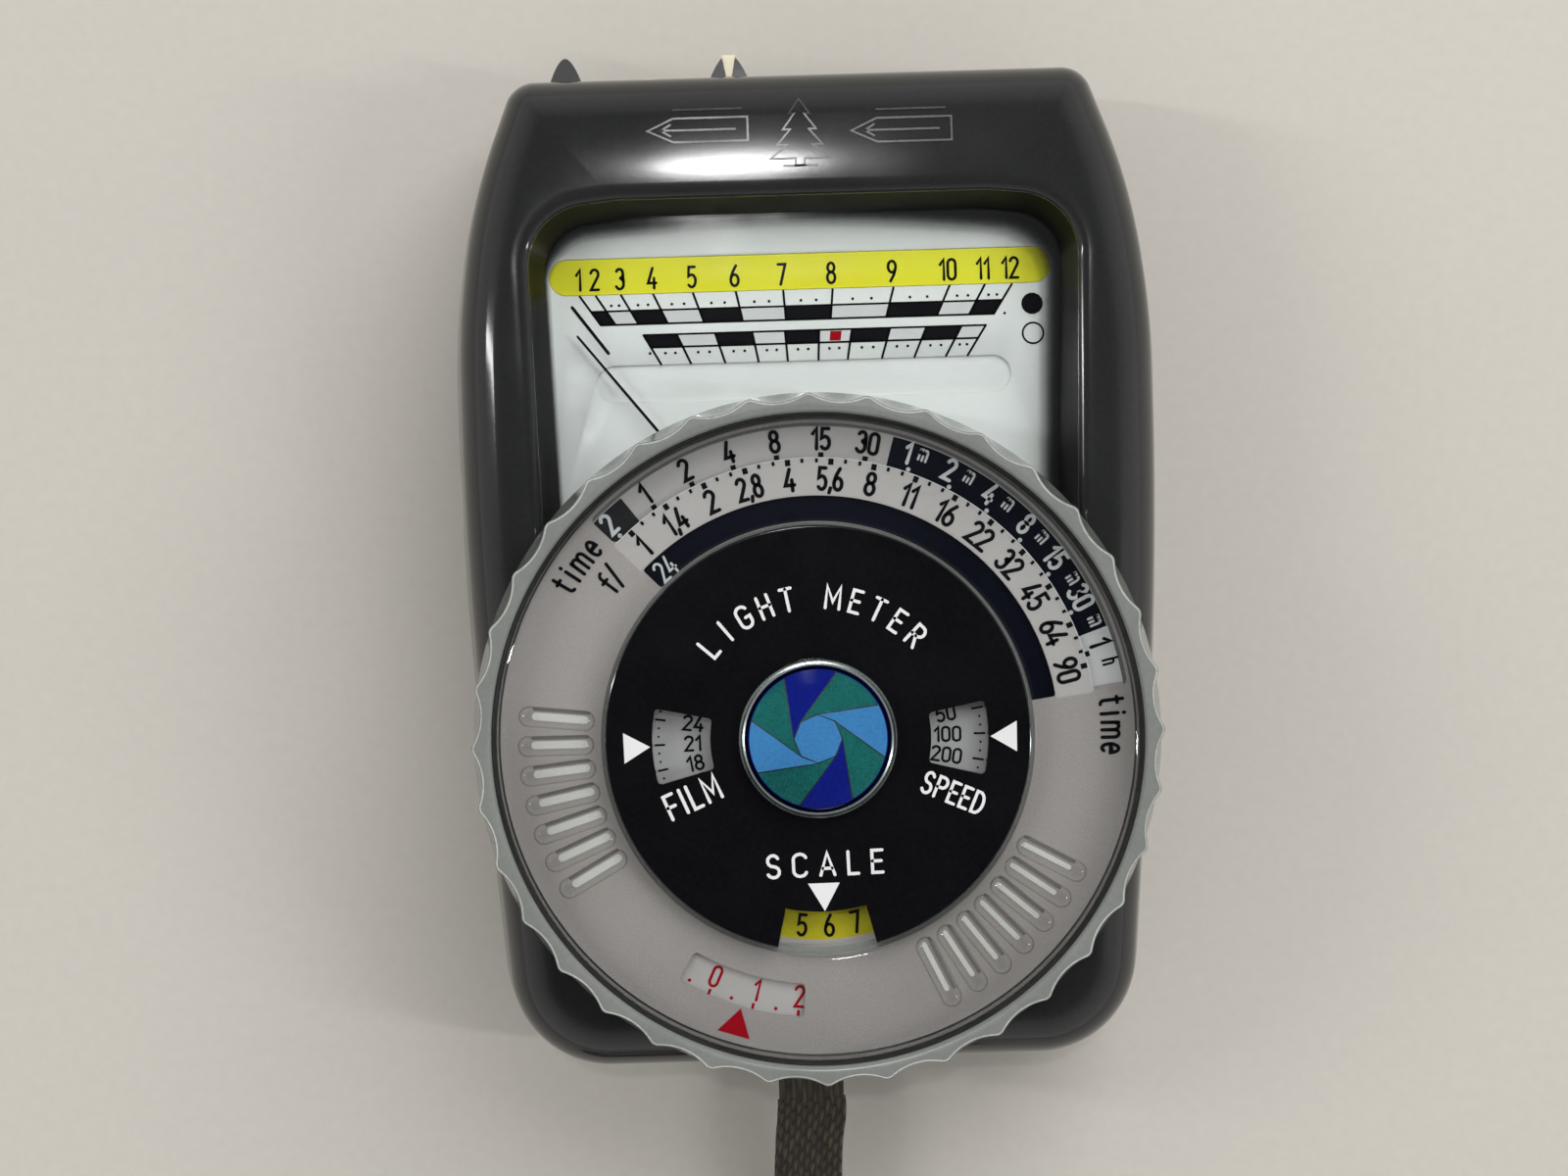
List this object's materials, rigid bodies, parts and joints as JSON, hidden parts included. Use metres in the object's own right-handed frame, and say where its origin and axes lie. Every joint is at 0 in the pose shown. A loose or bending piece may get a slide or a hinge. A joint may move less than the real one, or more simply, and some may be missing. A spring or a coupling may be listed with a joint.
{
  "type": "handheld light meter",
  "caption": "Handheld photographic light meter with a scalloped exposure dial, clear aperture disc, needle window, sliding diffuser and a woven neck strap.",
  "frame": {"origin": "on the resting back face, below the middle of the case's overall length and width", "axes": "+Z out of the dial, +Y towards the sensor end, +X to the right as the dial is read"},
  "size_m": [0.0909, 0.2247, 0.0333],
  "materials": {
    "case_black": "glossy moulded, charcoal",
    "trim_black": "semi-gloss",
    "inner_black": "matt",
    "ring_grey": "satin, slightly translucent",
    "dial_silver": "fine-grained satin silver",
    "dial_light": "satin light grey",
    "scale_silver": "fine brushed, lacquered",
    "strip_yellow": "satin yellow",
    "plate_black": "high gloss",
    "plate_metal": "satin",
    "badge_metal": "polished",
    "enamel": "coloured enamel",
    "clear": "clear acrylic",
    "steel": "turned",
    "screw_black": "black",
    "magnet": "sintered",
    "brass": "turned",
    "spring_bronze": "bright",
    "copper": "enamelled wire",
    "jewel": "polished",
    "pointer_black": "matt",
    "photocell": "sintered",
    "diffuser_cream": "opal",
    "board": "phenolic",
    "cell_steel": "nickel plated",
    "strap": "herringbone weave, olive brown"
  },
  "bodies": {
    "meter": {"rear_case": "case_black", "front_case": "case_black", "case_screws": "steel", "rear_plate": "plate_metal", "window_pane": "clear", "scale_plate": "scale_silver", "scale_strip": "strip_yellow", "dial_post": "brass", "wave_washer": "steel", "index_plate": "plate_black", "dial_screw": "brass", "badge_rim": "badge_metal", "badge_disc": "enamel", "badge_dome": "clear", "movement_yoke": "steel", "core_magnet": "magnet", "movement_bridge": "brass", "pivot_jewels": "jewel", "hairsprings": "spring_bronze", "clamp_springs": "spring_bronze", "sensor_window": "clear", "light_tube": "inner_black", "baffle_grid": "inner_black", "photocell": "photocell", "cell_holder": "inner_black", "circuit_board": "board", "trim_resistors": "board", "rocker_bracket": "steel", "rocker_pin": "steel", "rocker_contacts": "spring_bronze", "test_spring": "spring_bronze", "test_contact_block": "board", "battery_sleeve": "inner_black", "battery_cells": "cell_steel", "battery_contact": "spring_bronze", "strap_lug": "screw_black", "strap_end": "strap", "strap_upper": "strap", "strap_lower": "strap", "strap_coil": "strap"},
    "time_ring": {"scalloped_ring": "ring_grey", "time_disc": "dial_silver"},
    "aperture_dial": {"aperture_disc": "clear", "aperture_print": "dial_silver", "speed_print": "dial_light"},
    "pointer_assembly": {"moving_coil": "copper", "coil_staff": "steel", "pointer": "pointer_black", "pointer_tail": "brass"},
    "zero_adjuster": {"zero_screw": "screw_black"},
    "clamp_bar": {"needle_clamp": "plate_metal"},
    "diffuser": {"diffuser_carriage": "trim_black", "diffuser_dome": "diffuser_cream", "grip_insert": "diffuser_cream"},
    "rocker": {"range_rocker": "trim_black"},
    "test_key": {"test_button": "trim_black"},
    "battery_lid": {"battery_cap": "trim_black"}
  },
  "joints": [
    {"name": "time_ring_turn", "type": "hinge", "parent": "meter", "child": "time_ring", "pos_m": [0, -0.0162, 0.028], "axis": [0, 0, 1], "continuous": true},
    {"name": "film_speed_turn", "type": "hinge", "parent": "meter", "child": "aperture_dial", "pos_m": [0, -0.0162, 0.03], "axis": [0, 0, 1], "range_deg": [-36, 72]},
    {"name": "pointer_swing", "type": "hinge", "parent": "meter", "child": "pointer_assembly", "pos_m": [0, -0.0045, 0.0204], "axis": [0, 0, 1], "range_deg": [-77, 0], "stiffness_Nm_per_rad": 0.000002},
    {"name": "zero_screw_turn", "type": "hinge", "parent": "meter", "child": "zero_adjuster", "pos_m": [0, -0.0045, 0.001], "axis": [0, 0, -1], "range_deg": [-25, 25]},
    {"name": "needle_clamp_lift", "type": "slide", "parent": "meter", "child": "clamp_bar", "axis": [0, 0, 1], "range_m": [0, 0.0004], "stiffness_N_per_m": 20},
    {"name": "diffuser_slide", "type": "slide", "parent": "meter", "child": "diffuser", "axis": [1, 0, 0], "range_m": [0, 0.015]},
    {"name": "range_rocker_tilt", "type": "hinge", "parent": "meter", "child": "rocker", "pos_m": [0.0316, 0.008, 0.012], "axis": [0, 0, 1], "range_deg": [-3.5, 3.5], "stiffness_Nm_per_rad": 0.05},
    {"name": "test_button_press", "type": "slide", "parent": "meter", "child": "test_key", "axis": [1, 0, 0], "range_m": [0, 0.0012], "stiffness_N_per_m": 600},
    {"name": "battery_cap_turn", "type": "hinge", "parent": "meter", "child": "battery_lid", "pos_m": [-0.017, -0.031, 0.001], "axis": [0, 0, -1], "range_deg": [0, 75]}
  ]
}
